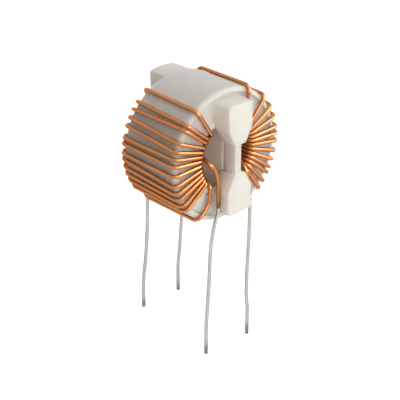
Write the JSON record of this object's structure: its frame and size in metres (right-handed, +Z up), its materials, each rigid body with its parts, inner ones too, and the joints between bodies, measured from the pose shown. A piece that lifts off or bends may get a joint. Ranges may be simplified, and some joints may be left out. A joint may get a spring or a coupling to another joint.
{
  "type": "common mode choke",
  "caption": "Through-hole common mode choke: ring core in a white moulded case, two copper wire windings parted by a moulded divider, tinned leads below",
  "frame": {"origin": "on the lowest line of the case, straight below the centre of the ring, where the board's face lies", "axes": "+Z up, away from the board; +Y along the ring's axis to the rear; the lid faces -Y; +X to the right seen from the lid"},
  "size_m": [0.0274, 0.022, 0.0528],
  "materials": {
    "ferrite": "matte sintered ferrite, dark grey",
    "case_plastic": "white moulded nylon, satin",
    "copper_wire": "copper wire under clear enamel, glossy",
    "tinned_wire": "tinned copper wire, dull silver"
  },
  "bodies": {
    "root": {"ferrite_core": "ferrite", "case_cup": "case_plastic", "case_lid": "case_plastic", "winding_left": "copper_wire", "winding_right": "copper_wire", "lead_front_left": "tinned_wire", "lead_front_right": "tinned_wire", "lead_rear_left": "tinned_wire", "lead_rear_right": "tinned_wire"}
  },
  "joints": []
}
